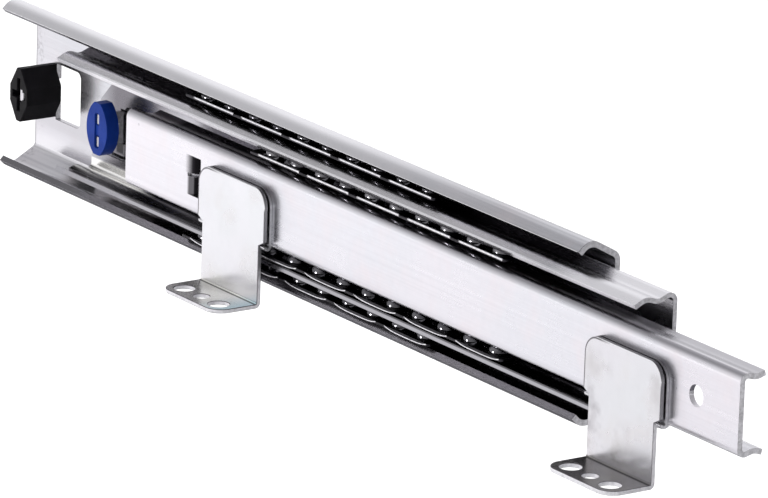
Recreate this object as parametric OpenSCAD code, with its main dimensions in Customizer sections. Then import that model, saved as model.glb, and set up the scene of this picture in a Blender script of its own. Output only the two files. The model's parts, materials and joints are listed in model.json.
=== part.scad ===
// Full-extension ball bearing slide: three nested roll-formed members running on
// caged ball rows, with rubber stops and two foot brackets on the inner member.
// Millimetres. +X is the pull-out direction, +Y points back to the cabinet wall, +Z is up.
// The origin is the centre of the outer member's back face. Along the slide, sizes are
// measured from the outer member's rear end, and "depth" is measured forward from the wall.

/* [Slide] */
// Length of the outer member
outer_len = 300; // [240:1:600]
// Height of the outer member over its two arches
slide_h = 53; // [50.5:0.5:58]
// Depth from the wall to the front face of the inner member
slide_depth = 19; // [18.4:0.1:21]
// How far the intermediate member stands out of the outer one
pull_intermediate = 36.9; // [10:0.1:60]
// How far the inner member stands out of the intermediate one
pull_inner = 41.3; // [30:0.1:60]

/* [Balls and cages] */
// Diameter of every ball
ball_d = 6.35; // [5.5:0.05:7]
// Running clearance between a ball and each raceway
race_gap = 0.05; // [0.03:0.01:0.1]
// Depth of the outer ball rows
outer_row_depth = 9.8; // [9:0.1:10.5]
// Depth of the inner ball rows
inner_row_depth = 13.5; // [12.8:0.1:14.5]
// Height from an inner ball row to the outer ball row beyond it
row_rise = 7.05; // [7:0.01:9]
// Distance between the two balls of a pocket
ball_pitch = 12.65; // [9:0.05:16]
// Distance between neighbouring pockets
pocket_pitch = 25.3; // [22:0.1:34]
// Thickness of the cage strip
cage_t = 0.7; // [0.5:0.05:0.9]
// Width of the cage strip
cage_w = 9.8; // [8.8:0.1:10.6]
// Clearance between a ball and the sides of its pocket
pocket_gap = 0.15; // [0.1:0.01:0.3]
// Clearance between a ball and the end of its pocket
pocket_play = 1.15; // [0.15:0.05:1.6]
// Strip left beyond the end pockets
cage_end = 2.8; // [2:0.1:6]
// Corner radius of the cage strip
cage_corner = 1.2; // [0.4:0.1:2]
// Place of the outer cages' first pocket
outer_cage_x = 116; // [105:0.1:125]
// Place of the inner cages' first pocket
inner_cage_x = 156.3; // [146:0.1:166]

/* [Outer member] */
// Sheet thickness of the outer member
outer_t = 1.8; // [1.5:0.05:2]
// Slope of the flange from the web to its arch
outer_slope = 29; // [24:1:33]
// Bend radius between web and flange
outer_bend_r = 2.6; // [2:0.1:3.5]
// Angle at which the lip leaves the arch
outer_lip_angle = 45; // [38:1:50]
// Straight length of the lip
outer_lip = 1.5; // [0.5:0.1:2]
// Distance from the rear end to the first cabinet screw hole
screw_first = 110; // [104:1:120]
// Distance from the front end to the last cabinet screw hole
screw_last = 30; // [20:1:60]
// Diameter of the cabinet screw holes
screw_d = 5.2; // [4:0.1:6]
// Diameter of the countersink around a screw hole
sink_d = 8.6; // [7:0.1:10]
// Depth of that countersink
sink_depth = 0.9; // [0.5:0.1:1.2]

/* [Rear stop] */
// Place of the lug that carries the rear bumper
lug_x = 10; // [9:0.1:12]
// Height of that lug
lug_h = 7; // [5:0.1:9]
// Height of the lug's narrow tip
lug_tip_h = 3.6; // [2:0.1:4.8]
// Length of that tip
lug_tip_len = 4; // [3.2:0.1:6]
// Length of the window that the lug is cut from
lug_window_len = 13.8; // [12:0.1:15]
// Height of that window
lug_window_h = 17.6; // [14:0.1:18.2]
// Corner radius of the windows
window_r = 2.2; // [1:0.1:3]
// Height of the stops' centre line
stop_z = -1; // [-1:0.1:1]
// Length of the rear bumper along the slide
rear_bumper_len = 9.8; // [8:0.1:11]
// Height of the rear bumper
rear_bumper_h = 16.7; // [14:0.1:16.8]
// Depth of the rear bumper
rear_bumper_depth = 12.4; // [10:0.1:13.5]
// Distance of the rear bumper's middle behind the lug's middle
rear_bumper_back = 1.1; // [0:0.1:2]
// Length of its flat top and bottom
rear_bumper_flat_len = 2.2; // [1:0.1:4]
// Height of its flat sides
rear_bumper_flat_h = 5; // [3:0.1:8]
// Height of the cross-shaped recess in its front face
rear_cross_h = 10.4; // [8:0.1:12]
// Width of that recess's upright arm
rear_cross_w = 1.8; // [1.2:0.1:2.4]
// Length of that recess's level arm
rear_cross_len = 7.2; // [5:0.1:7.5]
// Height of that recess's level arm
rear_cross_arm = 2.2; // [1.4:0.1:3]
// Depth of that recess
rear_cross_depth = 3; // [1:0.1:4]

/* [Intermediate member] */
// Length of the intermediate member
intermediate_len = 294; // [235:1:596]
// Sheet thickness of the intermediate member
intermediate_t = 1.4; // [1.1:0.05:1.5]
// Depth of the running gap between the two webs
web_gap = 1.4; // [1:0.1:1.8]
// Bend radius between web and flange
intermediate_bend_r = 1.9; // [1.4:0.1:2.2]
// Slope of the flange down from the bend to the outer raceway
intermediate_slope = 22; // [15:1:26]
// Angle at which the lip leaves the inner raceway
intermediate_lip_angle = 27; // [20:1:36]
// Straight length of the lip
intermediate_lip = 2.4; // [1:0.1:3]
// Length of the clearance cut at the rear of the web
notch_len = 4.4; // [3:0.1:7]
// Extra length of that cut where it runs up to the flange
notch_step = 7.5; // [4:0.1:9]
// Height of the cut's lower edge
notch_bottom = -12.4; // [-13:0.1:-11]
// Height of the slit that runs on from it, below the pronged tab
under_slit = 1.6; // [1:0.1:2.4]
// Height at which its slanted edge starts
notch_knee = 4; // [2:0.1:6]
// Length of the cut in the lower flange for the cage stop
stop_slot_len = 10.5; // [6:0.1:14]
// Width of that cut
stop_slot_w = 1.5; // [1:0.1:2]
// Distance from the rear end to the first hole for reaching a cabinet screw
access_first = 73.1; // [70:0.1:90]
// Distance from the front end to the last of those access holes
access_last = 60.9; // [40:0.1:80]
// Diameter of the access holes
access_d = 10; // [9:0.1:12]
// Radius at the rear corner of the strip below the cut
notch_r = 2.4; // [1:0.1:4]

/* [Intermediate stop] */
// Distance from the member's rear end to the pronged tab
prong_x = 16.5; // [15.5:0.1:20]
// Height of the prongs' centre line
prong_z = -1.6; // [-2:0.1:0]
// Height of one prong
prong_h = 3; // [2:0.1:4]
// Clear height between the two prongs
prong_space = 4; // [3:0.1:5]
// Length of the window that the prongs are cut from
prong_window_len = 11.5; // [9:0.1:14]
// Height of that window's upper edge
prong_window_top = 5; // [4:0.1:8]
// Length of the stop bumper along the slide
stop_bumper_len = 11.4; // [10:0.1:14]
// Height of the stop bumper
stop_bumper_h = 16.1; // [14:0.1:16.8]
// Length of its flat top and bottom
stop_flat = 3.2; // [1:0.1:5]
// Depth of the stop bumper's head
stop_bumper_depth = 4.3; // [3:0.1:6]
// Depth of the stop bumper's front face
stop_face_depth = 14; // [13:0.1:14.8]
// Width of the two sockets that show the prongs' ends
stop_socket_w = 2.4; // [2:0.1:3.2]
// Height of each socket
stop_socket_h = 3.9; // [3.4:0.1:5]
// Depth of each socket
stop_socket_depth = 1; // [0.6:0.1:1.6]
// Corner radius of each socket
stop_socket_r = 0.8; // [0.3:0.1:0.9]

/* [Inner member] */
// Length of the inner member
inner_len = 302.5; // [240:1:610]
// Sheet thickness of the inner member
inner_t = 1.6; // [1.2:0.05:1.8]
// Bend radius between web and flange
inner_bend_r = 1.7; // [1.3:0.1:2]
// Slope of the flange down from the bend to the raceway
inner_slope = 15; // [12:1:20]
// Slope of the flange's upturned edge
inner_edge_slope = 18; // [10:1:26]
// Straight length of that edge
inner_edge = 1.6; // [0.8:0.1:2]
// Diameter of the front fixing hole
front_hole_d = 6.2; // [5:0.1:8]
// Distance from the front end to that hole
front_hole_inset = 19; // [14:0.1:24]
// Height of that hole above the middle
front_hole_z = 0.6; // [-2:0.1:2]
// Length that both flanges are cut back at the rear end
flange_cut = 6; // [2:0.1:12]
// Distance from the rear end to the catch window
catch_x = 33.6; // [30:0.1:38]
// Length of the catch window
catch_len = 7; // [6:0.1:9]
// Height of the catch window
catch_h = 11.8; // [9:0.1:13]
// Slit between the two catch tabs
catch_slit = 1; // [0.6:0.1:2]
// Bend radius of the catch tabs
catch_r = 4.4; // [3.5:0.1:5]
// Straight length of the catch tabs behind their bend
catch_reach = 2; // [1.4:0.1:3]

/* [Foot brackets] */
// Distance from the inner member's rear end to the rear bracket
rear_bracket_x = 46.3; // [44:0.1:60]
// Distance from the inner member's front end to the front bracket
front_bracket_x = 63.4; // [40:0.1:90]
// Width of the bracket's neck and foot
neck_w = 29.8; // [26:0.1:34]
// How far each ear stands out beside the neck
ear_w = 2.6; // [2:0.1:4]
// Height of the ears' top edge
ear_top = 6.3; // [5:0.1:8]
// Height of the ears' bottom corners
ear_bottom = -9.3; // [-9.8:0.1:-8]
// Drop of the ears' bottom edge from there to the neck
ear_drop = 1.4; // [0.4:0.1:2]
// Radius of the ears' top corners
ear_r = 5.5; // [3:0.1:7]
// Height of the foot's upper face
foot_z = -28.4; // [-34:0.1:-28]
// Depth of the foot in front of the bracket's face
foot_depth = 14.5; // [12:0.1:18]
// Radius of the foot's front corners
foot_r = 5; // [2:0.1:7]
// Sheet thickness of the brackets
bracket_t = 1.25; // [1:0.05:1.5]
// Sheet thickness of the hook plates
hook_t = 0.9; // [0.7:0.05:1.2]
// Clear space beside each hook
hook_side = 0.3; // [0.1:0.05:0.6]
// Clear space between a bracket and its hook plate
hook_gap = 0.7; // [0.5:0.1:1.2]
// Bend radius inside the foot's corner
foot_bend_r = 0.4; // [0.2:0.1:1]
// Diameter of the bosses that the bracket is welded through
boss_d = 4; // [3:0.1:6]
// Distance between the two bosses
boss_pitch = 17.6; // [12:0.1:20]
// Height of the bosses
boss_z = -1; // [-3:0.1:1]
// Diameter of the outer two foot holes
foot_hole_d = 6.4; // [5:0.1:7]
// Diameter of the middle foot hole
pilot_d = 4.8; // [3.5:0.1:5]
// Distance between neighbouring foot holes
foot_hole_pitch = 9.1; // [8:0.1:11]
// Distance from the bracket's face to the foot holes
foot_hole_depth = 9.4; // [7:0.1:10.5]

/* [Hidden] */
$fn = 64;
eps = 0.01;
arc_step = 7.5;
pockets = 5;

// Raceway radius and the heights of the ball rows
race_r = ball_d / 2 + race_gap;
outer_row_z = slide_h / 2 - outer_t - race_r;
inner_row_z = outer_row_z - row_rise;

// Mid-sheet depths of the three webs
outer_web = outer_t / 2;
intermediate_back = outer_t + web_gap;
intermediate_web = intermediate_back + intermediate_t / 2;
intermediate_front = intermediate_back + intermediate_t;
inner_web = slide_depth - inner_t / 2;

// Places of the members' rear ends, from the outer member's rear end
intermediate_x = pull_intermediate;
inner_x = pull_intermediate + pull_inner;
rear_bracket_at = inner_x + rear_bracket_x;
front_bracket_at = inner_x + inner_len - front_bracket_x;
screw_x = [screw_first, outer_len - screw_last];
access_x = [intermediate_x + access_first, intermediate_x + intermediate_len - access_last];

// Cage pockets and strips
pocket_w = ball_d + 2 * pocket_gap;
pocket_len = ball_pitch + ball_d + 2 * pocket_play;
cage_len = (pockets - 1) * pocket_pitch + pocket_len + 2 * cage_end;

// Face of the bracket plate, forward of the inner member
bracket_back = slide_depth + hook_t + hook_gap;
bracket_face = bracket_back + bracket_t;

// Bends of the two stop tabs
lug_bend_r = 1;
prong_bend_r = 0.8;
prong_at = intermediate_x + prong_x;
prong_root_h = 2 * prong_h + prong_space;
tab_relief = 0.4;
tab_root = 1;
lug_tip_in = 0.6;
prong_tip_in = 0.5;
fit_gap = 0.1;

ROWS = ["outer_top", "outer_bottom", "inner_top", "inner_bottom"];
CAGES = [for (row = ROWS) str(row, "_cage")];
BALLS = [for (row = ROWS) for (i = [1:pockets]) str(row, "_balls_", i)];
MEMBERS = ["outer_member", "intermediate_member", "inner_member"];
STOPS = ["rear_bumper", "stop_bumper"];
BRACKETS = ["rear_bracket", "front_bracket", "rear_hook_plate", "front_hook_plate"];

zinc = [0.86, 0.86, 0.88];
bright_steel = [0.74, 0.74, 0.77];
cage_steel = [0.42, 0.42, 0.45];
black_rubber = [0.08, 0.08, 0.09];
blue_plastic = [0.12, 0.27, 0.66];

// Profiles are drawn as [depth, height], and a bend is [centre depth, centre height,
// mid-sheet radius, start angle, end angle], run through from the web to the edge.
function at(c, r, a) = [c[0] + r * cos(a), c[1] + r * sin(a)];

// One face of the sheet round a bend, side = +1 for the left-hand face and -1 for the right
function bend_face(b, side, t) =
    let (clockwise = b[4] < b[3],
         r = b[2] + (clockwise ? side : -side) * t / 2,
         n = ceil(abs(b[4] - b[3]) / arc_step))
    [for (i = [0:n]) at(b, r, b[3] + (b[4] - b[3]) * i / n)];

// The end of the straight edge beyond the last bend
function edge_end(b, side, t, len) =
    let (clockwise = b[4] < b[3],
         r = b[2] + (clockwise ? side : -side) * t / 2,
         heading = b[4] + (clockwise ? -90 : 90))
    at(at(b, r, b[4]), len, heading);

function sheet_face(bends, side, t, edge) =
    concat([for (b = bends) each bend_face(b, side, t)],
           [edge_end(bends[len(bends) - 1], side, t, edge)]);

function reversed(p) = [for (i = [len(p) - 1:-1:0]) p[i]];
function mirrored(p) = [for (q = p) [q[0], -q[1]]];

// Closed outline of a C-shaped sheet whose upper half runs through the given bends
function channel(bends, t, edge) =
    let (left = sheet_face(bends, 1, t, edge),
         right = sheet_face(bends, -1, t, edge))
    concat(left, reversed(right), mirrored(right), reversed(mirrored(left)));

// Height of the web bend's centre that makes its flange run straight onto a raceway.
// reach is how far the two centres lie apart across that flange, at angle a.
function bend_height(row, depth, a, reach) =
    (row[0] * cos(a) + row[1] * sin(a) - reach - depth * cos(a)) / sin(a);

outer_row = [outer_row_depth, outer_row_z];
inner_row = [inner_row_depth, inner_row_z];

// Outer member: web bend, then the arch over the outer balls
outer_arch_r = race_r + outer_t / 2;
outer_normal = 90 + outer_slope;
outer_bend_z = bend_height(outer_row, outer_web + outer_bend_r, outer_normal,
                           outer_bend_r - outer_arch_r);
outer_bends = [
    [outer_web + outer_bend_r, outer_bend_z, outer_bend_r, 180, outer_normal],
    [outer_row[0], outer_row[1], outer_arch_r, outer_normal, 90 - outer_lip_angle]];

// Intermediate member: web bend, groove under the outer balls, arch over the inner balls
mid_race_r = race_r + intermediate_t / 2;
row_span = norm(outer_row - inner_row);
swing = atan2(inner_row[0] - outer_row[0], row_rise) - acos(min(1, 2 * mid_race_r / row_span));
mid_normal = 90 - intermediate_slope;
mid_bend_z = bend_height(outer_row, intermediate_web + intermediate_bend_r, mid_normal,
                         mid_race_r + intermediate_bend_r);
intermediate_bends = [
    [intermediate_web + intermediate_bend_r, mid_bend_z, intermediate_bend_r, 180, mid_normal],
    [outer_row[0], outer_row[1], mid_race_r, 180 + mid_normal, 270 + swing],
    [inner_row[0], inner_row[1], mid_race_r, 90 + swing, 90 - intermediate_lip_angle]];

// Inner member: web bend, then the groove under the inner balls
inner_race_r = race_r + inner_t / 2;
inner_normal = 90 + inner_slope;
inner_bend_z = bend_height(inner_row, inner_web - inner_bend_r, inner_normal,
                           inner_race_r + inner_bend_r);
inner_bends = [
    [inner_web - inner_bend_r, inner_bend_z, inner_bend_r, 0, inner_normal],
    [inner_row[0], inner_row[1], inner_race_r, 270 + inner_slope, 270 - inner_edge_slope]];

// A profile drawn as [depth, height], run along the slide from x for a length
module run(x, length) {
    translate([x - outer_len / 2, 0, 0])
        rotate([90, 0, 90])
            linear_extrude(length)
                mirror([1, 0])
                    children();
}

// A shape drawn as [along, height], given a thickness forward from a depth
module face_on(depth, thickness) {
    translate([-outer_len / 2, -depth, 0])
        rotate([90, 0, 0])
            linear_extrude(thickness)
                children();
}

// A shape drawn as [along, depth], given a thickness up from a height
module lay_flat(z, thickness) {
    translate([-outer_len / 2, 0, z])
        linear_extrude(thickness)
            mirror([0, 1])
                children();
}

module rounded(x, z, w, h, r) {
    translate([x, z]) {
        translate([r, 0])
            square([w - 2 * r, h]);
        translate([0, r])
            square([w, h - 2 * r]);
        for (cx = [r, w - r], cz = [r, h - r])
            translate([cx, cz])
                circle(r);
    }
}

// A quarter or half bend of sheet about an upright axis at [along, depth]
module upright_bend(x, depth, z, h, r, t, from, sweep) {
    translate([x - outer_len / 2, -depth, z])
        rotate([0, 0, from])
            rotate_extrude(angle = sweep)
                translate([r, 0])
                    square([t, h]);
}

// A bend of sheet about an axis along the slide at [depth, height]
module level_bend(x, length, depth, z, r, t, from, sweep) {
    translate([x - outer_len / 2, -depth, z])
        rotate([90, 0, 90])
            rotate([0, 0, from])
                rotate_extrude(angle = sweep)
                    translate([r, 0])
                        square([t, length]);
}

module web_hole(x, z, d, back, thickness) {
    face_on(back - eps, thickness + 2 * eps)
        translate([x, z])
            circle(d = d);
}

// Members

module outer_member() {
    lug_left = lug_x - lug_bend_r;
    lug_right = lug_x + outer_t;
    color(zinc)
    difference() {
        union() {
            difference() {
                run(0, outer_len)
                    polygon(channel(outer_bends, outer_t, outer_lip));
                face_on(-eps, outer_t + 2 * eps) {
                    rounded(lug_right, stop_z - lug_window_h / 2,
                            lug_window_len, lug_window_h, window_r);
                    translate([lug_right, stop_z - lug_window_h / 2])
                        square([lug_window_len / 2, lug_window_h]);
                    translate([lug_left, stop_z - lug_h / 2 - tab_relief])
                        square([lug_window_len / 2, lug_h + 2 * tab_relief]);
                }
            }
            rear_lug();
        }
        for (x = screw_x) {
            web_hole(x, 0, screw_d, 0, outer_t);
            countersink(x);
        }
    }
}

module rear_lug() {
    tip = outer_t + rear_bumper_depth - lug_tip_in;
    root = outer_t + lug_bend_r;
    upright_bend(lug_x - lug_bend_r, root, stop_z - lug_h / 2, lug_h,
                 lug_bend_r, outer_t, 0, 90);
    face_on(root, tip - lug_tip_len - root)
        translate([lug_x, stop_z - lug_h / 2])
            square([outer_t, lug_h]);
    face_on(root, tip - root)
        translate([lug_x, stop_z - lug_tip_h / 2])
            square([outer_t, lug_tip_h]);
    face_on(0, outer_t)
        translate([lug_x - lug_bend_r - tab_root, stop_z - lug_h / 2])
            square([tab_root, lug_h]);
}

module countersink(x) {
    translate([x - outer_len / 2, -outer_t + sink_depth, 0])
        rotate([90, 0, 0])
            cylinder(h = sink_depth + eps, d1 = screw_d, d2 = sink_d);
}

module intermediate_member() {
    window_x = prong_at + intermediate_t;
    color(zinc)
    difference() {
        union() {
            difference() {
                run(intermediate_x, intermediate_len)
                    polygon(channel(intermediate_bends, intermediate_t, intermediate_lip));
                face_on(intermediate_back - eps, intermediate_t + 2 * eps) {
                    rear_notch();
                    rounded(window_x, notch_bottom, prong_window_len,
                            prong_window_top - notch_bottom, window_r);
                    translate([intermediate_x, notch_bottom])
                        square([prong_x + prong_window_len / 2, under_slit]);
                    translate([prong_at - prong_bend_r, prong_z - prong_root_h / 2 - tab_relief])
                        square([prong_window_len / 2, prong_root_h + 2 * tab_relief]);
                }
            }
            prong_tab();
        }
        for (x = access_x)
            web_hole(x, 0, access_d, intermediate_back, intermediate_t);
        lay_flat(-inner_row_z - 2 * race_r, 2 * race_r)
            translate([intermediate_x - 1, inner_row_depth - stop_slot_w / 2])
                square([stop_slot_len + 1, stop_slot_w]);
    }
}

// Clearance cut that lets the web close round the rear bumper
module rear_notch() {
    left = intermediate_x - 1;
    knee = intermediate_x + notch_len;
    top = mid_bend_z;
    polygon([
        [left, notch_bottom],
        [knee, notch_bottom],
        [knee, notch_knee],
        [knee + notch_step, notch_knee + notch_step],
        [knee + notch_step, top],
        [left, top]]);
    translate([intermediate_x, notch_bottom - notch_r])
        difference() {
            translate([-1, 0])
                square([notch_r + 1, notch_r + 1]);
            translate([notch_r, 0])
                circle(notch_r);
        }
}

module prong_tab() {
    root = intermediate_front + prong_bend_r;
    tip = stop_face_depth - prong_tip_in;
    low = prong_z - prong_root_h / 2;
    upright_bend(prong_at - prong_bend_r, root, low, prong_root_h,
                 prong_bend_r, intermediate_t, 0, 90);
    face_on(intermediate_back, intermediate_t)
        translate([prong_at - prong_bend_r - tab_root, low])
            square([tab_root, prong_root_h]);
    face_on(root, tab_root)
        translate([prong_at, low])
            square([intermediate_t, prong_root_h]);
    for (z = [low, low + prong_h + prong_space])
        face_on(root, tip - root)
            translate([prong_at, z])
                square([intermediate_t, prong_h]);
}

module inner_member() {
    window_x = inner_x + catch_x;
    color(zinc)
    union() {
        difference() {
            run(inner_x, inner_len)
                polygon(channel(inner_bends, inner_t, inner_edge));
            face_on(slide_depth - inner_t - eps, inner_t + 2 * eps)
                translate([window_x, -catch_h / 2])
                    square([catch_len, catch_h]);
            web_hole(inner_x + inner_len - front_hole_inset, front_hole_z, front_hole_d,
                     slide_depth - inner_t, inner_t);
            rear_flange_cut();
        }
        for (z = [-catch_h / 2, catch_slit / 2])
            catch_tab(window_x, z, (catch_h - catch_slit) / 2);
    }
}

// Both flanges end short of the web at the rear
module rear_flange_cut() {
    web_side = inner_web - inner_bend_r;
    inside = inner_row_depth - race_r - inner_t;
    for (z = [inner_bend_z - inner_bend_r, -slide_h / 2])
        face_on(inside, web_side - inside)
            translate([inner_x - 1, z])
                square([flange_cut + 1, slide_h / 2 - inner_bend_z + inner_bend_r]);
}

// Tab that curls back from the window's rear edge and meets the stop bumper
module catch_tab(x, z, h) {
    bend_depth = slide_depth - catch_r;
    upright_bend(x, bend_depth, z, h, catch_r - inner_t, inner_t, -90, 90);
    face_on(bend_depth - catch_reach, catch_reach)
        translate([x + catch_r - inner_t, z])
            square([inner_t, h]);
}

// Stops

module rear_bumper() {
    middle = lug_x + outer_t / 2 - rear_bumper_back;
    half = rear_bumper_len / 2;
    half_flat = rear_bumper_flat_len / 2;
    top = rear_bumper_h / 2;
    side_top = rear_bumper_flat_h / 2;
    color(black_rubber)
    difference() {
        face_on(outer_t, rear_bumper_depth)
            translate([middle, stop_z])
                polygon([
                    [-half, -side_top], [-half_flat, -top], [half_flat, -top],
                    [half, -side_top], [half, side_top], [half_flat, top],
                    [-half_flat, top], [-half, side_top]]);
        bumper_bore();
        face_on(outer_t + rear_bumper_depth - rear_cross_depth, rear_cross_depth + eps)
            translate([middle, stop_z]) {
                square([rear_cross_w, rear_cross_h], center = true);
                square([rear_cross_len, rear_cross_arm], center = true);
            }
    }
}

// Slot that the lug and its bend pass through
module bumper_bore() {
    low = stop_z - lug_h / 2 - fit_gap;
    face_on(outer_t - eps, rear_bumper_depth - lug_tip_in - lug_tip_len + fit_gap)
        translate([lug_x - fit_gap, low])
            square([outer_t + 2 * fit_gap, lug_h + 2 * fit_gap]);
    face_on(outer_t - eps, rear_bumper_depth + 2 * eps)
        translate([lug_x - fit_gap, stop_z - lug_tip_h / 2 - fit_gap])
            square([outer_t + 2 * fit_gap, lug_tip_h + 2 * fit_gap]);
    face_on(outer_t - eps, lug_bend_r + fit_gap)
        translate([lug_x - lug_bend_r - fit_gap, low])
            square([lug_bend_r + outer_t + 2 * fit_gap, lug_h + 2 * fit_gap]);
}

module stop_bumper() {
    middle = prong_at + intermediate_t / 2;
    back = stop_face_depth - stop_bumper_depth;
    prong_pitch = prong_space + prong_h;
    color(blue_plastic)
    difference() {
        face_on(back, stop_bumper_depth)
            translate([middle, stop_z])
                barrel(stop_bumper_len, stop_bumper_h, stop_flat);
        for (side = [-1, 1]) {
            face_on(back - eps, stop_bumper_depth + 2 * eps)
                translate([middle, prong_z + side * prong_pitch / 2])
                    square([intermediate_t + 2 * fit_gap, prong_h + 2 * fit_gap], center = true);
            face_on(stop_face_depth - stop_socket_depth, stop_socket_depth + eps)
                translate([middle, prong_z + side * prong_pitch / 2])
                    rounded(-stop_socket_w / 2, -stop_socket_h / 2, stop_socket_w, stop_socket_h,
                            stop_socket_r);
        }
        face_on(stop_face_depth - stop_socket_depth / 2, stop_socket_depth / 2 + eps)
            translate([middle, prong_z])
                square([stop_socket_w, prong_pitch], center = true);
    }
}

// Outline with bulging sides, w wide in the middle and h high, with flat ends
module barrel(w, h, flat) {
    bulge = (w - flat) / 2;
    r = (h * h / 4 + bulge * bulge) / (2 * bulge);
    intersection() {
        translate([w / 2 - r, 0])
            circle(r, $fn = 180);
        translate([r - w / 2, 0])
            circle(r, $fn = 180);
        square([w, h], center = true);
    }
}

// Ball rows and cages

// side = +1 for the row above the middle and -1 for the row below
module ball_pair(row, side, first_x, i) {
    x = first_x + (i - 1) * pocket_pitch;
    color(bright_steel)
    for (half = [-0.5, 0.5])
        translate([x + half * ball_pitch - outer_len / 2, -row[0], side * row[1]])
            sphere(d = ball_d);
}

module cage(row, side, first_x) {
    start = first_x - pocket_len / 2 - cage_end;
    color(cage_steel)
    lay_flat(side * row[1] - cage_t / 2, cage_t)
        difference() {
            rounded(start, row[0] - cage_w / 2, cage_len, cage_w, cage_corner);
            for (i = [0:pockets - 1])
                slot(first_x + i * pocket_pitch - pocket_len / 2, row[0] - pocket_w / 2,
                     pocket_len, pocket_w);
        }
}

// Slot with full-round ends, drawn from its lower left corner
module slot(x, z, length, w) {
    translate([x + w / 2, z])
        square([length - w, w]);
    for (end = [w / 2, length - w / 2])
        translate([x + end, z + w / 2])
            circle(d = w);
}

// Foot brackets, drawn from their neck's left side

module ear_outline(x, bottom) {
    difference() {
        rounded(x - ear_w, bottom - ear_r, neck_w + 2 * ear_w, ear_top - bottom + ear_r, ear_r);
        translate([x - ear_w - 1, bottom - ear_r - 1])
            square([neck_w + 2 * ear_w + 2, ear_r + 1]);
    }
}

module bracket(x) {
    floor_z = foot_z - bracket_t;
    start = bracket_face + foot_bend_r;
    color(zinc)
    difference() {
        union() {
            face_on(bracket_back, bracket_t) {
                ear_outline(x, ear_bottom);
                polygon([
                    [x - ear_w, ear_bottom], [x - ear_w, ear_bottom + eps],
                    [x + neck_w + ear_w, ear_bottom + eps], [x + neck_w + ear_w, ear_bottom],
                    [x + neck_w, ear_bottom - ear_drop], [x + neck_w, foot_z + foot_bend_r],
                    [x, foot_z + foot_bend_r], [x, ear_bottom - ear_drop]]);
            }
            level_bend(x, neck_w, start, foot_z + foot_bend_r, foot_bend_r, bracket_t, -90, 90);
            lay_flat(floor_z, bracket_t)
                difference() {
                    rounded(x, start - foot_r, neck_w, foot_depth + foot_r - foot_bend_r, foot_r);
                    translate([x - 1, start - foot_r - 1])
                        square([neck_w + 2, foot_r + 1]);
                }
            weld_bosses(x);
        }
        for (i = [-1:1])
            translate([x + neck_w / 2 + i * foot_hole_pitch - outer_len / 2,
                       -bracket_face - foot_hole_depth, floor_z - eps])
                cylinder(h = bracket_t + 2 * eps, d = i == 0 ? pilot_d : foot_hole_d);
    }
}

// Pressed bosses that the plate is welded through
module weld_bosses(x) {
    for (i = [-1, 1])
        face_on(slide_depth + hook_t, hook_gap + eps)
            translate([x + neck_w / 2 + i * boss_pitch / 2, boss_z])
                circle(d = boss_d);
}

// Plate on the inner member with two hooks that the bracket's ears sit in
module hook_plate(x) {
    hook_w = ear_w - hook_side;
    color(zinc) {
        face_on(slide_depth, hook_t)
            ear_outline(x, ear_bottom - ear_drop);
        for (left = [x - ear_w, x + neck_w + ear_w - hook_w])
            level_bend(left, hook_w, bracket_back - hook_gap / 2, ear_bottom - ear_drop,
                       hook_gap / 2, hook_t, 180, 180);
    }
}

outer_member();
intermediate_member();
inner_member();
rear_bumper();
stop_bumper();
cage(outer_row, 1, outer_cage_x);  // outer_top_cage
cage(outer_row, -1, outer_cage_x);  // outer_bottom_cage
cage(inner_row, 1, inner_cage_x);  // inner_top_cage
cage(inner_row, -1, inner_cage_x);  // inner_bottom_cage
for (i = [1:pockets]) {
    ball_pair(outer_row, 1, outer_cage_x, i);
    ball_pair(outer_row, -1, outer_cage_x, i);
    ball_pair(inner_row, 1, inner_cage_x, i);
    ball_pair(inner_row, -1, inner_cage_x, i);
}
bracket(rear_bracket_at);  // rear_bracket
bracket(front_bracket_at);  // front_bracket
hook_plate(rear_bracket_at);  // rear_hook_plate
hook_plate(front_bracket_at);  // front_hook_plate
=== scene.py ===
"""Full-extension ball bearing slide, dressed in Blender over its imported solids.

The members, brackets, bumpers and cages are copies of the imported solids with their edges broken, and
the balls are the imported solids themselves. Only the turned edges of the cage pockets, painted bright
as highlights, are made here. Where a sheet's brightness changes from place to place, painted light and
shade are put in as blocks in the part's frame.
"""
import json
import math

import bmesh
import bpy
from mathutils import Matrix, Vector

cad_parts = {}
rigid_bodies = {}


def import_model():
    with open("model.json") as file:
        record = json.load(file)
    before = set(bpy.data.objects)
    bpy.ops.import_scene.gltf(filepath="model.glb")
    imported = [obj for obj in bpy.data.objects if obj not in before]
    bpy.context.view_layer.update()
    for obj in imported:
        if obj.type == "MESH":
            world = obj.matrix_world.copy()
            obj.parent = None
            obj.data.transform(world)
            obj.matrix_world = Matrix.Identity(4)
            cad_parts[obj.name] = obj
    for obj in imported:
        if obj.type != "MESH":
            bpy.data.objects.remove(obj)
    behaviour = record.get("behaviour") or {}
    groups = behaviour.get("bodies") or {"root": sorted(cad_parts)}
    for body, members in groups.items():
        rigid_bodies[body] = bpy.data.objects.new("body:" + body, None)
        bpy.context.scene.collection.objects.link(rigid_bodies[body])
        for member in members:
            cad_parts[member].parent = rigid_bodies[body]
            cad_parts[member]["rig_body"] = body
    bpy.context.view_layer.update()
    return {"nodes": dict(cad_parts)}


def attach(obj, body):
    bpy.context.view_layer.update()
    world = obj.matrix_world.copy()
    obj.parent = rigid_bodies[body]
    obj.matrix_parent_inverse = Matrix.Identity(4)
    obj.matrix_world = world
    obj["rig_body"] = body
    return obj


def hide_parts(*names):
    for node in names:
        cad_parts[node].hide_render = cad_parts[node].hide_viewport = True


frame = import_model()

MM = 0.001

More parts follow.
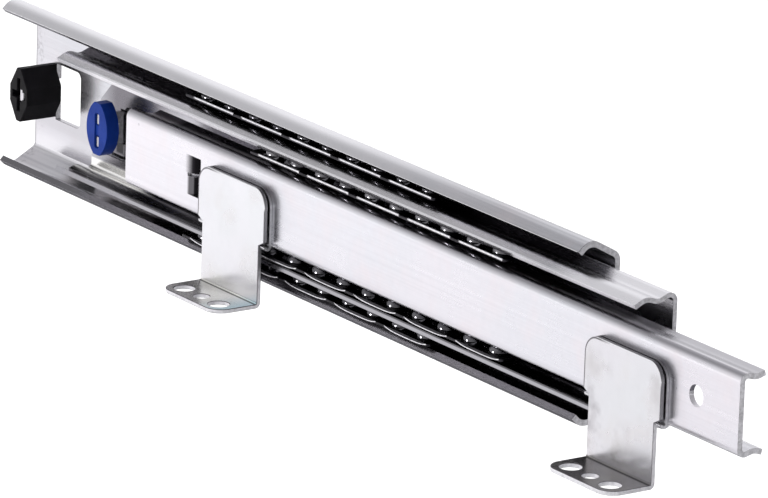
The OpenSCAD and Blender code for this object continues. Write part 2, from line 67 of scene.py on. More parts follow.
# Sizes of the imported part. A pair of ball rows has a depth in front of the wall and a height.
OUTER_ROWS = (9.8 * MM, 21.475 * MM)
INNER_ROWS = (13.5 * MM, 14.425 * MM)
GROOVE_RADIUS = 3.225 * MM
FOOT_LEVEL = -28.2 * MM  # just above the upper faces of the feet
EAR_TOP, EAR_RADIUS = 6.3 * MM, 5.5 * MM

# The cage pockets and their turned edges, in millimetres
FIRST_POCKET = {"outer": -34.0, "inner": 6.3}  # along the slide, in the rest pose
POCKETS, POCKET_PITCH = 5, 25.3
EDGE_LENGTH = 21.0
EDGE_LEAD = 2.3  # along the slide, from the pocket's middle
EDGE_FORWARD = 4.98  # in front of the ball centres
EDGE_RAISE = 0.3  # above the ball centres

# Noise features a metre along each axis, for lines that run along the sheet
DRAWN_LINES = (6.0, 1300.0, 1300.0)
SCORED_LINES = (9.0, 3200.0, 3200.0)

SAME_POINT = 0.002 * MM  # vertices closer than this are merged
SAME_PLANE = math.radians(0.6)  # faces that turn less than this are joined
FLOOR = -0.3  # height of the studio floor


# The photograph's viewpoint

def place_camera():
    """The camera that was fitted to about seventy points of the photograph."""
    lens = bpy.data.cameras.new("photograph")
    lens.lens = 353.1
    lens.sensor_width = 36
    lens.clip_start = 0.05
    lens.clip_end = 60
    camera = bpy.data.objects.new("photograph", lens)
    right = Vector((0.565398, 0.824229, 0.031177))
    up = Vector((-0.247812, 0.133697, 0.959539))
    back = Vector((0.786711, -0.550247, 0.279846))
    turn = Matrix((right, up, back)).transposed().to_4x4()
    camera.matrix_world = Matrix.Translation((1.7411, -1.1922, 0.6000)) @ turn
    bpy.context.scene.collection.objects.link(camera)
    bpy.context.scene.camera = camera


# Node trees

class Nodes:
    """Short ways to build one node tree. A pattern is a node's output."""

    def __init__(self, tree):
        self.tree = tree

    def fill(self, socket, value):
        """Puts a pattern, a number or a colour into a socket."""
        if isinstance(value, bpy.types.NodeSocket):
            self.tree.links.new(value, socket)
        elif socket.type == "RGBA":
            socket.default_value = (*value, 1.0)
        else:
            socket.default_value = value

    def node(self, kind, inputs=None, **settings):
        """A node with its settings made first, because some of them change its sockets."""
        made = self.tree.nodes.new(kind)
        for key, value in settings.items():
            setattr(made, key, value)
        for key, value in (inputs or {}).items():
            self.fill(made.inputs[key], value)
        return made

    def spread(self, value, low, high, to_low=0.0, to_high=1.0):
        """The stretch of a pattern between low and high, mapped to a new range."""
        return self.node("ShaderNodeMapRange", {
            "Value": value, "From Min": low, "From Max": high,
            "To Min": to_low, "To Max": to_high}).outputs[0]

    def calc(self, operation, a, b=0.0):
        return self.node("ShaderNodeMath", {0: a, 1: b}, operation=operation).outputs[0]

    def times(self, product, *factors):
        for factor in factors:
            product = self.calc("MULTIPLY", product, factor)
        return product

    def distance(self, across, above):
        """The straight distance that two lengths at right angles give."""
        squares = self.calc("ADD", self.times(across, across), self.times(above, above))
        return self.calc("SQRT", squares)

    def mix(self, amount, a, b):
        """Colour a, turning into b as the amount goes from 0 to 1."""
        return self.node("ShaderNodeMix", {0: amount, 6: a, 7: b}, data_type="RGBA").outputs[2]

    def mottle(self, pattern, a, b, low=0.35, high=0.7):
        """Colour a where the pattern is low, and colour b where it is high."""
        return self.mix(self.spread(pattern, low, high), a, b)


class Finish(Nodes):
    """A material in the making, with its patterns on the piece's own Object coordinates."""

    def __init__(self, name):
        self.material = bpy.data.materials.new(name)
        self.material.use_nodes = True
        super().__init__(self.material.node_tree)
        self.place = self.node("ShaderNodeTexCoord").outputs["Object"]
        self.x, self.y, self.z = self.node("ShaderNodeSeparateXYZ", {0: self.place}).outputs

    def noise(self, scale, detail=3.0, rough=0.6):
        """Noise with so many features a metre: one number, or one for each axis."""
        place = self.place
        if isinstance(scale, tuple):
            place = self.node("ShaderNodeMapping", {"Vector": place, "Scale": scale}).outputs[0]
            scale = 1.0
        return self.node("ShaderNodeTexNoise", {
            "Vector": place, "Scale": scale, "Detail": detail, "Roughness": rough}).outputs["Fac"]

    def bump(self, height, strength, distance):
        return self.node("ShaderNodeBump", {
            "Height": height, "Strength": strength, "Distance": distance}).outputs[0]

    def between(self, value, low, high, soft):
        """1 from low to high, fading out over a soft length on both sides."""
        middle, half = (low + high) / 2, (high - low) / 2
        away = self.calc("ABSOLUTE", self.calc("SUBTRACT", value, middle))
        return self.spread(away, half + soft, half)

    def plateau(self, value, edges):
        """0 outside four lengths in millimetres, rising to 1 from the first to the second and falling
        from the third to the fourth."""
        start, full, last, end = (length * MM for length in edges)
        return self.times(self.spread(value, start, full), self.spread(value, end, last))

    def region(self, x=None, z=None, depth=None):
        """A soft-edged block of the piece, given by plateaus along it, up it and forward from the wall."""
        masks = [self.plateau(axis, edges) for axis, edges in (
            (self.x, x), (self.z, z), (self.y, depth and [-edge for edge in reversed(depth)])) if edges]
        return self.times(*masks)

    def shaded(self, colour, roughness, metallic=1.0, normal=None, specular=None):
        """The material, with values or patterns in its shader's sockets."""
        shader = self.tree.nodes["Principled BSDF"]
        for key, value in (("Base Color", colour), ("Roughness", roughness), ("Metallic", metallic),
                           ("Normal", normal), ("Specular IOR Level", specular)):
            if value is not None:
                self.fill(shader.inputs[key], value)
        return self.material


# Finishes

class ZincSheet(Finish):
    """Bright zinc plating on drawn sheet: two tints in soft clouds, a third in patches, and faint lines,
    grain and pits. Films, stains and blocks of painted light and shade are then painted over it, each over
    the ones before."""

    def __init__(self, name, tints, roughness=0.2, streaks=0.14, lines=DRAWN_LINES):
        super().__init__(name)
        streak_shade, grain_shade, pit_shade = (0.40, 0.40, 0.44), (0.46, 0.44, 0.46), (0.20, 0.19, 0.21)
        self.drawn = self.noise(lines)
        self.patch = self.noise(75.0, 3.0, 0.55)
        cloud = self.noise(22.0, 2.0, 0.5)
        grain = self.noise(420.0, 2.0, 0.5)
        pits = self.node("ShaderNodeTexVoronoi", {"Vector": self.place, "Scale": 150.0, "Randomness": 1.0})
        pitted = self.spread(self.noise(95.0, 1.0, 0.55), 0.62, 0.66)
        pit = self.times(self.spread(pits.outputs["Distance"], 0.09, 0.05), pitted)
        self.colour = self.mottle(cloud, tints[0], tints[1], 0.38, 0.62)
        self.paint(self.spread(self.patch, 0.5, 0.72, 0.0, 0.7), tints[2])
        self.paint(self.spread(self.drawn, 0.3, 0.8, 0.0, streaks), streak_shade)
        self.paint(self.spread(grain, 0.3, 0.75, 0.0, 0.07), grain_shade)
        self.paint(self.times(pit, 0.6), pit_shade)
        self.rough = self.calc(
            "ADD", self.spread(self.patch, 0.3, 0.7, roughness - 0.03, roughness + 0.05),
            self.spread(self.drawn, 0.3, 0.7, -0.02, 0.03))

    def paint(self, mask, shade):
        self.colour = self.mix(mask, self.colour, shade)

    def paint_block(self, shade, **block):
        self.paint(self.region(**block), shade)

    def smudge(self, shade, scale, **block):
        """A blotchy stain within a block."""
        blots = self.spread(self.noise(scale, 4.0), 0.5, 0.72)
        self.paint(self.times(self.region(**block), blots), shade)

    def long_dark_bands(self, height, strength):
        """Long darker bands along the sheet above a height, on both sides of the middle."""
        broad = self.noise((7.0, 420.0, 420.0), 2.0, 0.5)
        upper_part = self.spread(self.calc("ABSOLUTE", self.z), height - 2 * MM, height)
        self.paint(self.times(upper_part, self.spread(broad, 0.42, 0.62), strength), (0.26, 0.26, 0.28))

    def shade_flanges(self, height, depths, ends, shades):
        """Painted shade with scored lines on both flanges, above a height, between two depths and two ends.
        """
        shallow, deep = depths
        above = self.spread(self.calc("ABSOLUTE", self.z), height - 0.5 * MM, height + 0.3 * MM)
        band = self.times(above, self.between(self.y, -deep, -shallow, 0.4 * MM),
                          self.between(self.x, *ends, 4 * MM))
        self.paint(band, self.mottle(self.noise(SCORED_LINES, 2.0, 0.5), *shades, 0.35, 0.65))

    def oil_and_shade_grooves(self, rows, ends):
        """Painted shade and dark scored oil on the rolled grooves round a pair of ball rows, between two
        ends.
        """
        depth, height = rows
        reach = 0.25 * MM
        across = self.calc("ADD", self.y, depth)
        above = self.calc("SUBTRACT", self.calc("ABSOLUTE", self.z), height)
        groove = self.spread(self.distance(across, above), GROOVE_RADIUS + reach,
                             GROOVE_RADIUS + 0.4 * reach)
        smear = self.spread(self.noise((60.0, 500.0, 500.0)), 0.3, 0.65, 0.8, 1.0)
        oil_and_shade, scratch = (0.022, 0.020, 0.024), (0.20, 0.19, 0.21)
        scored = self.mottle(self.noise(SCORED_LINES, 2.0, 0.5), oil_and_shade, scratch, 0.6, 0.68)
        self.paint(self.times(groove, smear, self.between(self.x, *ends, 6 * MM)), scored)

    def shade_and_stain_feet(self):
        """Painted light on the rear foot and painted shade on the front foot; the rear foot has a bluish
        end, and both have brown stain patches.
        """
        pale, dark = (0.90, 0.90, 0.86), (0.15, 0.14, 0.145)
        brown, bluish = (0.36, 0.345, 0.31), (0.50, 0.66, 0.70)
        rear_foot, front_foot = 0.0, 0.17
        shade_and_stain = self.mix(self.spread(self.x, rear_foot, front_foot), pale, dark)
        shade_and_stain = self.mix(self.spread(self.patch, 0.4, 0.7, 0.0, 0.5), shade_and_stain, brown)
        shade_and_stain = self.mix(self.plateau(self.x, (-6, 3, 12, 20)), shade_and_stain, bluish)
        self.paint(self.spread(self.z, FOOT_LEVEL + 0.5 * MM, FOOT_LEVEL), shade_and_stain)

    def outline_ear(self, left):
        """A painted shade line down the left edge of an ear and round its upper corner, fading along the
        top.
        """
        width = 0.75 * MM
        across = self.calc("MINIMUM", self.calc("SUBTRACT", self.x, left + EAR_RADIUS))
        above = self.calc("MAXIMUM", self.calc("SUBTRACT", self.z, EAR_TOP - EAR_RADIUS))
        line = self.spread(self.distance(across, above), EAR_RADIUS - width, EAR_RADIUS - 0.6 * width)
        along_top = self.spread(self.x, left + 2.2 * EAR_RADIUS, left + 1.2 * EAR_RADIUS)
        down_side = self.spread(self.z, -11 * MM, -8 * MM)
        self.paint(self.times(line, along_top, down_side), (0.15, 0.145, 0.155))

    def plated(self):
        relief = self.calc("ADD", self.times(self.drawn, 0.7), self.times(self.patch, 0.6))
        return self.shaded(self.colour, self.rough, normal=self.bump(relief, 0.12, 0.05 * MM))


def sheared_end_finish():
    """The cut thickness at a member's ends, rougher and greyer than its plated faces."""
    finish = Finish("sheared_member_end")
    torn = finish.noise(900.0)
    shade = (0.68, 0.67, 0.70)
    return finish.shaded(finish.mottle(torn, shade, [0.6 * part for part in shade]), 0.5, metallic=0.3,
                         normal=finish.bump(torn, 0.3, 0.08 * MM))


def edge_line_finish(name, bright_depth=None, ends=None):
    """The broken edges of a sheet: dark, as shear marks and painted shade along the edges, and a painted
    highlight in the upper half past a depth and away from the ends, in millimetres."""
    finish = Finish(name)
    colour = finish.mottle(finish.noise(320.0), (0.16, 0.15, 0.17), (0.26, 0.25, 0.27))
    if bright_depth:
        left, right = ends
        lip = finish.region(x=(left + 0.6, left + 1.0, right - 1.0, right - 0.6), z=(0.0, 1.0, 40.0, 41.0),
                            depth=(bright_depth, bright_depth + 0.3, 30.0, 31.0))
        colour = finish.mix(lip, colour, (0.93, 0.92, 0.94))
    return finish.shaded(colour, 0.26)


def bracket_rim_finish(name, side_shade, whiter_between):
    """The cut thickness of a bracket's sheets, in painted shade and painted light: dark along the top of
    the ear, greyer down its sides, and turning white from one height down to another."""
    finish = Finish(name)
    torn = finish.noise(900.0)
    low = finish.spread(finish.z, *whiter_between)
    colour = finish.mix(finish.spread(finish.z, 1.5 * MM, 5.5 * MM), side_shade, (0.07, 0.066, 0.074))
    colour = finish.mix(low, colour, (0.72, 0.71, 0.74))
    colour = finish.mix(finish.spread(torn, 0.4, 0.75, 0.0, 0.4), colour, (0.20, 0.19, 0.21))
    return finish.shaded(colour, 0.32, metallic=finish.spread(low, 0.0, 1.0, 0.8, 0.25),
                         normal=finish.bump(torn, 0.3, 0.08 * MM))


def cage_strip_finish():
    # painted near-black as painted shade, with mottled oil
    finish = Finish("oiled_and_shaded_cage_strip")
    film = finish.noise(240.0)
    rolled = finish.noise((20.0, 1500.0, 1500.0), 2.0, 0.5)
    return finish.shaded(finish.mottle(film, (0.018, 0.017, 0.020), (0.050, 0.047, 0.054)),
                         finish.spread(film, 0.3, 0.7, 0.2, 0.36),
                         normal=finish.bump(rolled, 0.2, 0.04 * MM))


def pocket_edge_finish():
    # painted near-white as painted highlights on the turned pocket edges
    finish = Finish("highlit_pocket_rim")
    rubbed = finish.noise(600.0, 2.0, 0.5)
    return finish.shaded(finish.mottle(rubbed, (0.97, 0.96, 0.98), (0.70, 0.69, 0.73)), 0.22)


def ball_finish(name, clean, filmed):
    finish = Finish(name)
    film = finish.noise(420.0)
    return finish.shaded(finish.mottle(film, clean, filmed, 0.4), finish.spread(film, 0.3, 0.7, 0.06, 0.15))


def moulded_finish(name, shades, cloud_scale, skin_scale, roughness, specular, relief):
    """Rubber or plastic with a fine skin, and soft clouds in its colour and roughness."""
    finish = Finish(name)
    cloud = finish.noise(cloud_scale)
    return finish.shaded(finish.mottle(cloud, *shades), finish.spread(cloud, 0.3, 0.7, *roughness),
                         metallic=0.0, specular=specular,
                         normal=finish.bump(finish.noise(skin_scale), *relief))


# Pieces

def new_object(name, shape, finishes):
    """An object made of a bmesh, which is then freed."""
    mesh = bpy.data.meshes.new(name)
    shape.to_mesh(mesh)
    shape.free()
    for finish in finishes:
        mesh.materials.append(finish)
    made = bpy.data.objects.new(name, mesh)
    bpy.context.scene.collection.objects.link(made)
    return made


def finished_copy(source, name, finishes, broken_edge, on_rim=None, soften=34.0, steps=2):
    """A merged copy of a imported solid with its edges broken, standing for that solid. Its finishes are
    those of its faces, its rim and its broken edges, or one for all three. Faces that meet at less than
    soften degrees shade as one."""
    solid = frame["nodes"][source]
    body = solid["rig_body"]
    shape = bmesh.new()
    shape.from_mesh(solid.data)
    bmesh.ops.remove_doubles(shape, verts=shape.verts, dist=SAME_POINT)
    bmesh.ops.dissolve_limit(shape, angle_limit=SAME_PLANE, verts=shape.verts, edges=shape.edges,
                             delimit={"NORMAL"})
    bmesh.ops.recalc_face_normals(shape, faces=shape.faces)
    for face in shape.faces:
        face.smooth = True
        face.material_index = 1 if on_rim and on_rim(face) else 0
    for edge in shape.edges:
        edge.smooth = len(edge.link_faces) == 2 and edge.calc_face_angle(0.0) < math.radians(soften)
    piece = new_object(name, shape, finishes)
    rounding = piece.modifiers.new("broken_edges", "BEVEL")
    rounding.width = broken_edge
    rounding.segments = steps
    rounding.limit_method = "ANGLE"
    rounding.angle_limit = math.radians(soften)
    rounding.use_clamp_overlap = True
    rounding.material = len(finishes) - 1
    flats = piece.modifiers.new("flat_faces_stay_flat", "WEIGHTED_NORMAL")
    flats.mode = "FACE_AREA"
    flats.weight = 80
    flats.keep_sharp = True
    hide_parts(source)
    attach(piece, body)


def outer_sheet():
    sheet = ZincSheet("outer_zinc_sheet", streaks=0.3, tints=(
        (0.66, 0.64, 0.675), (0.63, 0.63, 0.665), (0.69, 0.645, 0.67)))
    sheet.long_dark_bands(24.0 * MM, 0.45)
    # pits along the rear end
    sheet.smudge((0.36, 0.35, 0.37), 700.0, x=(-152, -151, -147, -144.5))
    # painted shade and oil in the grooves round the ball rows
    sheet.oil_and_shade_grooves(OUTER_ROWS, ends=(-0.095, 0.2))
    # lower lip: painted shade, dark at the rear and lighter further on
    lip = dict(z=(-25.4, -24.2, -22.6, -22.0), depth=(12.5, 13.0, 15.0, 15.2))
    sheet.paint_block((0.20, 0.195, 0.21), **lip)
    sheet.paint_block((0.295, 0.285, 0.305), x=(-110, -70, 152, 153), **lip)
    # upper arch: painted light, brighter at the rear
    sheet.paint_block((0.82, 0.81, 0.84), x=(-152, -151, 20, 110), z=(21, 22.4, 30, 31),
                      depth=(7, 8, 15.2, 15.4))
    # web at the rear: painted light low down, a painted shade line along its end, and painted shade across
    # its lower middle
    rear, web = (-152, -151, -110, -90), (0.3, 0.5, 1.9, 2.2)
    sheet.paint_block((0.71, 0.70, 0.73), x=rear, z=(-26, -24, -18, -14), depth=(0.3, 0.5, 2.6, 3.2))
    sheet.paint_block((0.38, 0.37, 0.39), x=(-152, -151, -149.7, -149.0), depth=web)
    sheet.paint_block((0.54, 0.53, 0.56), x=rear, z=(-14.5, -12, -7, 3), depth=web)
    return sheet.plated()


def intermediate_sheet():
    sheet = ZincSheet("intermediate_zinc_sheet", roughness=0.24, streaks=0.2, tints=(
        (0.50, 0.485, 0.52), (0.47, 0.47, 0.50), (0.53, 0.50, 0.525)))
    sheet.long_dark_bands(17.0 * MM, 0.3)
    # painted shade with scored lines on both flanges
    sheet.shade_flanges(height=15.3 * MM, depths=(3.0 * MM, 14.1 * MM), ends=(-0.112, 0.1435),
                       shades=((0.030, 0.027, 0.033), (0.075, 0.068, 0.08)))
    # painted shade and oil in the grooves round the ball rows
    sheet.oil_and_shade_grooves(INNER_ROWS, ends=(-0.09, 0.2))
    # upper lip: painted shade on its crest, then a grey band and a painted highlight in front of it
    sheet.paint_block((0.12, 0.115, 0.125), x=(-120, -119, 138, 144), z=(17, 17.4, 25, 26),
                      depth=(12.6, 13.3, 14.0, 14.6))
    sheet.paint_block((0.51, 0.50, 0.52), x=(-120, -119, 100, 150), z=(15, 15.3, 20, 21),
                      depth=(14.9, 15.6, 17.0, 17.2))
    sheet.paint_block((0.84, 0.83, 0.86), x=(-100, -90, 120, 160), z=(15.2, 15.4, 20, 21),
                      depth=(17.0, 17.2, 19, 20))
    # tip of the lower lip: painted shade above and painted light below
    tip = dict(x=(-80, -70, 190, 191), depth=(16.5, 16.8, 19, 20))
    sheet.paint_block((0.15, 0.145, 0.155), z=(-16.7, -16.5, -15.3, -15.0), **tip)
    sheet.paint_block((0.50, 0.49, 0.52), z=(-17.6, -17.4, -16.8, -16.6), **tip)
    # strip below the rear cut: painted light
    sheet.paint_block((0.95, 0.94, 0.92), x=(-120, -119, -84, -76), z=(-21, -20, -15.2, -14.8),
                      depth=(2.4, 2.9, 9.0, 12.0))
    # upper flange and lip at the front end: painted light
    sheet.paint_block((0.80, 0.79, 0.82), x=(140, 152, 190, 191), z=(14, 15, 25, 26))
    # painted shade on the front face of the web at the rear, and a painted shadow on it beside the blue
    # bumper
    web = (3.7, 3.9, 4.9, 5.2)
    sheet.paint_block((0.19, 0.18, 0.20), x=(-112, -100, -88, -60), z=(-14.8, -14.5, 15.5, 15.8),
                      depth=web)
    sheet.paint_block((0.03, 0.028, 0.032), x=(-99.8, -98.8, -95.8, -94.6), z=(-10.6, -9.8, 2.0, 3.2),
                      depth=web)
    return sheet.plated()


def inner_sheet():
    sheet = ZincSheet("inner_zinc_sheet", roughness=0.28, tints=(
        (0.80, 0.78, 0.82), (0.77, 0.77, 0.81), (0.82, 0.77, 0.80)))
    sheet.long_dark_bands(10.6 * MM, 0.25)
    # painted shade with scored lines on both flanges
    sheet.shade_flanges(height=9.9 * MM, depths=(8.0 * MM, 17.0 * MM), ends=(-0.050, 0.174),
                       shades=((0.06, 0.055, 0.065), (0.20, 0.19, 0.21)))
    # upper flange: painted shade, with a darker line at its bend and a lighter stretch at the front end
    sheet.paint_block((0.40, 0.39, 0.42), z=(9.2, 10.6, 20, 21), depth=(16.8, 17.3, 18.0, 19.0))
    sheet.paint_block((0.58, 0.57, 0.60), x=(172, 180, 240, 241), z=(10.3, 10.8, 20, 21),
                      depth=(9, 10, 16, 17))
    # lower bend: painted shade
    sheet.paint_block((0.46, 0.45, 0.48), z=(-20, -19, -11.4, -10.0), depth=(16, 17, 25, 26))
    # painted shade on the lower and the upper tab of the catch window, and black painted shade at the right
    # ends of both
    sheet.paint_block((0.14, 0.135, 0.145), x=(-38.4, -37.4, -31.5, -31.3), z=(-6.1, -5.9, -0.6, -0.4))
    sheet.paint_block((0.02, 0.018, 0.022), x=(-39.5, -36.2, -31.5, -31.3), z=(0.4, 0.6, 5.9, 6.1))
    sheet.paint_block((0.012, 0.011, 0.013), x=(-35.9, -35.6, -31.5, -31.3), z=(-6.1, -5.9, 5.9, 6.1))
    return sheet.plated()


def across_the_end(face):
    """Picks the sheared ends of a member, which face along the slide."""
    return abs(face.normal.x) > 0.99


def dress_members():
    end = sheared_end_finish()
    for member, sheet, lip in (
            ("outer", outer_sheet(), dict(bright_depth=12.9, ends=(-150.0, 150.0))),
            ("intermediate", intermediate_sheet(), dict(bright_depth=16.6, ends=(-113.1, 180.9))),
            ("inner", inner_sheet(), {})):
        line = edge_line_finish(f"{member}_edge_line", **lip)
        finished_copy(f"{member}_member", f"{member}_channel", (sheet, end, line), 0.22 * MM,
                      on_rim=across_the_end)


def round_the_rim(face):
    """Picks the thickness of a bracket's sheets, upright and level."""
    height = face.calc_center_median().z
    upright = height > FOOT_LEVEL and abs(face.normal.y) < 0.2
    level = height <= FOOT_LEVEL and abs(face.normal.z) < 0.5
    return upright or level


def bracket_sheet(name, left, smudges):
    sheet = ZincSheet(name, roughness=0.24, streaks=0.1, lines=(60.0, 60.0, 40.0), tints=(
        (0.77, 0.75, 0.79), (0.75, 0.76, 0.78), (0.72, 0.70, 0.70)))
    for shade, scale, block in smudges:
        sheet.smudge(shade, scale, **block)
    # painted light and shade on the feet, with stains
    sheet.shade_and_stain_feet()
    # a painted shade line along the ear's left edge
    sheet.outline_ear(left * MM)
    # painted shade in the crease where the plate meets the foot
    sheet.paint_block((0.06, 0.058, 0.062), z=(-29.2, -29.0, -27.6, -27.4), depth=(22.1, 22.2, 22.7, 22.9))
    return sheet.plated()


def dress_brackets():
    """Each bracket has the place of its left edge in millimetres, the heights between which its rim
    turns white with painted light, and its smudges with their shades, noise scales and blocks."""
    for place, left, whiter_between, smudges in (
            ("rear", -28.1, (-16 * MM, -22 * MM), (
                ((0.60, 0.58, 0.53), 120.0, dict(x=(-26, -22, -8, -4), z=(-28, -27, -25, -24))),
                ((0.74, 0.73, 0.74), 60.0, dict(z=(-25, -20, 2, 4))))),
            ("front", 164.6, (-8 * MM, -12 * MM), (
                ((0.40, 0.39, 0.37), 90.0, dict(z=(-28.4, -28, -24, -19))),
                ((0.50, 0.49, 0.51), 110.0, dict(x=(160, 166, 180, 188), z=(-24, -20, -9, -4))),
                ((0.58, 0.57, 0.58), 60.0, dict(z=(-25, -20, 2, 4)))))):
        plated = bracket_sheet(f"{place}_bracket_plating", left, smudges)
        line = edge_line_finish(f"{place}_bracket_edge_line", bright_depth=20.0,
                                ends=(left + 0.4, left + 60.0))
        for sheet, name, side in (("bracket", "foot_bracket", 0.34), ("hook_plate", "hooked_plate", 0.62)):
            rim = bracket_rim_finish(f"{place}_{sheet}_rim", (side, side, side * 1.03), whiter_between)
            finished_copy(f"{place}_{sheet}", f"{place}_{name}", (plated, rim, line), 0.2 * MM,
                          on_rim=round_the_rim)


def dress_stops():
    rubber = moulded_finish("black_stop_rubber", ((0.0022, 0.0018, 0.0028), (0.0065, 0.0058, 0.0078)),
                            cloud_scale=160.0, skin_scale=1400.0, roughness=(0.52, 0.7), specular=0.16,
                            relief=(0.25, 0.05 * MM))
    plastic = moulded_finish("blue_stop_plastic", ((0.009, 0.040, 0.27), (0.006, 0.028, 0.20)),
                             cloud_scale=130.0, skin_scale=900.0, roughness=(0.34, 0.48), specular=0.08,
                             relief=(0.15, 0.04 * MM))
    finished_copy("rear_bumper", "rear_stop_bumper", (rubber,), 0.5 * MM, soften=30.0, steps=3)
    finished_copy("stop_bumper", "blue_stop_bumper", (plastic,), 0.6 * MM, soften=30.0, steps=3)


def dress_cages():
    strip = cage_strip_finish()
    for row in ("outer_top", "outer_bottom", "inner_top", "inner_bottom"):
        finished_copy(f"{row}_cage", f"{row}_cage_strip", (strip,), 0.08 * MM)


def pocket_edges(row, side, finish):
    """The turned near edge of each pocket: straight above the middle, sagging in the lower rows."""
    depth, height = (length / MM for length in (OUTER_ROWS if row == "outer" else INNER_ROWS))
    tall, level, sag = (0.62, height, 0.0) if side == "top" else (0.3, -height, 0.75)
    upright = Matrix.Rotation(math.radians(90), 3, "X")
    shape = bmesh.new()
    for pocket in range(POCKETS):
        strip = bmesh.ops.create_grid(shape, x_segments=24, y_segments=1, size=0.5)["verts"]
        bmesh.ops.scale(shape, verts=strip, vec=(EDGE_LENGTH, tall, 1))
        bmesh.ops.rotate(shape, verts=strip, cent=(0, 0, 0), matrix=upright)
        for corner in strip:
            out = abs(corner.co.x) / (EDGE_LENGTH / 2)
            corner.co.z -= sag * (1 - out ** 4)
        along = FIRST_POCKET[row] + pocket * POCKET_PITCH + EDGE_LEAD
        bmesh.ops.translate(shape, verts=strip, vec=(along, -depth - EDGE_FORWARD, level + EDGE_RAISE))
    bmesh.ops.scale(shape, verts=shape.verts, vec=(MM, MM, MM))
    bmesh.ops.recalc_face_normals(shape, faces=shape.faces)
    for face in shape.faces:
        face.smooth = True
    piece = new_object(f"{row}_{side}_pocket_edges", shape, (finish,))
    wall = piece.modifiers.new("edge_wall", "SOLIDIFY")
    wall.thickness = 0.25 * MM
    wall.offset = 0.0
    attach(piece, f"{row}_{side}_cage")


def dress_pockets():
    finish = pocket_edge_finish()
    for row in ("outer", "inner"):
        for side in ("top", "bottom"):
            pocket_edges(row, side, finish)


def ball_solids():
    return {name: solid for name, solid in frame["nodes"].items() if "_balls_" in name}


def polish_balls():
    """Painted light on the upper inner row, which gets a lighter steel, and painted shade with oil on the
    other rows, which get a darker steel.
    """
    oily_shaded = ball_finish("oily_shaded_ball_steel", (0.14, 0.137, 0.148), (0.06, 0.058, 0.066))
    lit_steel = ball_finish("lit_ball_steel", (0.24, 0.235, 0.25), (0.12, 0.117, 0.127))
    for name, solid in ball_solids().items():
        for slot in solid.material_slots:
            slot.material = lit_steel if name.startswith("inner_top") else oily_shaded


# Studio

def level_card(name, corner_a, corner_b, height, shade, far_shade=None):
    """A level rectangle between two corners, of one shade or graded from left to right."""
    finish = Finish(name)
    across = finish.spread(finish.x, corner_a[0], corner_b[0])
    matt = finish.shaded(finish.mix(across, shade, far_shade or shade), 1.0, metallic=0.0, specular=0.0)
    shape = bmesh.new()
    bmesh.ops.create_grid(shape, x_segments=1, y_segments=1, size=0.5)
    span = [b - a for a, b in zip(corner_a, corner_b)]
    middle = [(a + b) / 2 for a, b in zip(corner_a, corner_b)]
    bmesh.ops.scale(shape, verts=shape.verts, vec=(*span, 1))
    bmesh.ops.translate(shape, verts=shape.verts, vec=(*middle, height))
    card = new_object(name, shape, (matt,))
    return card


def lay_floor():
    """A pale floor, and just over it cards that show in the metal and nowhere else."""
    level_card("pale_floor", (-30, -30), (30, 30), FLOOR, (0.93, 0.93, 0.93))
    dark, darker, dim = (0.10, 0.10, 0.11), (0.08, 0.08, 0.09), (0.42, 0.42, 0.43)
    light, grey = (0.98, 0.97, 0.98), (0.75, 0.74, 0.75)
    low, lower = FLOOR + 0.01, FLOOR + 0.005
    for card in (
            level_card("dark_card_behind_left", (-1.5, 0.06), (0.1, 1.6), low, dark),
            level_card("dark_card_behind_right", (0.1, 0.02), (2.0, 1.6), low, darker),
            level_card("dark_card_in_front_right", (0.28, -1.8), (2.0, 0.02), low, dim),
            level_card("graded_card_in_front_left", (-1.02, -1.6), (-0.62, 0.0), lower, light, grey),
            level_card("grey_card_in_front", (-0.62, -1.6), (0.28, 0.0), lower, grey)):
        card.visible_camera = False
        card.visible_diffuse = False
        card.visible_shadow = False


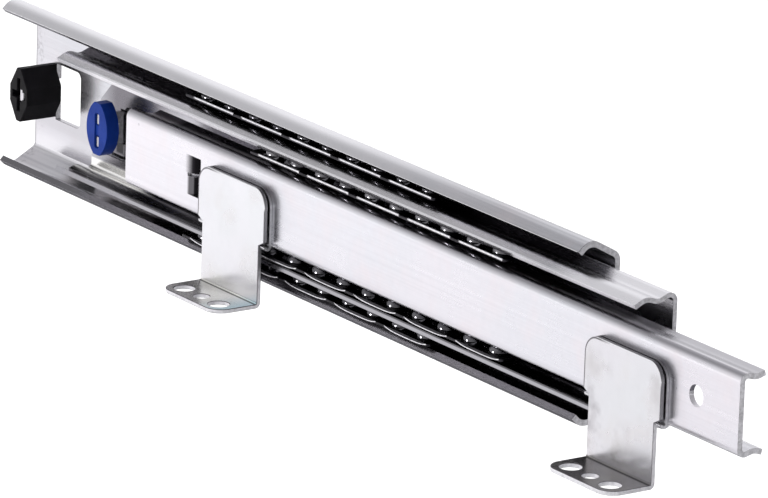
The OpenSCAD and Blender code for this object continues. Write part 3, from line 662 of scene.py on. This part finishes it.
def fill_sky():
    """Soft room light, graded from front to back: white far in front, grey nearer and overhead, light
    behind and dim at the far back. It dims towards the right. The camera sees plain white."""
    world = bpy.data.worlds.new("studio")
    world.use_nodes = True
    sky = Nodes(world.node_tree)
    sky.tree.nodes.clear()
    where = sky.node("ShaderNodeTexCoord").outputs["Generated"]
    axes = sky.node("ShaderNodeSeparateXYZ", {0: where})
    ramp = sky.node("ShaderNodeValToRGB", {0: sky.spread(axes.outputs[1], -1.0, 1.0)})
    stops = ramp.color_ramp.elements
    stops[0].position, stops[1].position = 0.0, 1.0
    stops[0].color = (1.0, 1.0, 1.0, 1)
    stops[1].color = (0.30, 0.30, 0.31, 1)
    for position, shade in ((0.23, 0.98), (0.35, 0.51), (0.42, 0.56), (0.52, 0.68), (0.62, 0.87),
                            (0.69, 0.98), (0.78, 1.0), (0.82, 0.80), (0.9, 0.55)):
        stops.new(position).color = (shade, shade, shade * 1.02, 1)
    dimming = sky.spread(axes.outputs[0], -0.2, 0.9, 1.0, 0.42)
    room = sky.node("ShaderNodeBackground", {"Color": ramp.outputs[0], "Strength": dimming})
    seen = sky.node("ShaderNodeBackground", {"Color": (1, 1, 1), "Strength": 1.0})
    ray = sky.node("ShaderNodeLightPath").outputs["Is Camera Ray"]
    both = sky.node("ShaderNodeMixShader", {0: ray, 1: room.outputs[0], 2: seen.outputs[0]})
    sky.node("ShaderNodeOutputWorld", {"Surface": both.outputs[0]})
    bpy.context.scene.world = world


def hang_broad_lamp():
    """A broad overhead lamp that lights the floor and the plastics, and doesn't glare in the metal."""
    sun = bpy.data.lights.new("overhead", "SUN")
    sun.energy = 2.5
    sun.angle = math.radians(50)
    lamp = bpy.data.objects.new("overhead", sun)
    lamp.rotation_euler = (math.radians(14), math.radians(-10), 0)
    lamp.visible_glossy = False
    bpy.context.scene.collection.objects.link(lamp)


def hang_small_square():
    """A small bright square in front, which lights the balls alone and makes their points of light."""
    square = bpy.data.lights.new("small_square", "AREA")
    square.energy = 26.0
    square.size = 0.4
    lamp = bpy.data.objects.new("small_square", square)
    lamp.location = (-0.43, -1.41, -0.07)
    lamp.rotation_euler = Vector((-0.32, -0.94, -0.05)).to_track_quat("Z", "Y").to_euler()
    lamp.visible_camera = False
    lamp.visible_diffuse = False
    balls = bpy.data.collections.new("balls_under_the_square")
    for solid in ball_solids().values():
        balls.objects.link(solid)
    lamp.light_linking.receiver_collection = balls
    bpy.context.scene.collection.objects.link(lamp)


place_camera()
dress_members()
dress_brackets()
dress_stops()
dress_cages()
dress_pockets()
polish_balls()
lay_floor()
fill_sky()
hang_broad_lamp()
hang_small_square()
bpy.context.scene.view_settings.view_transform = "Standard"
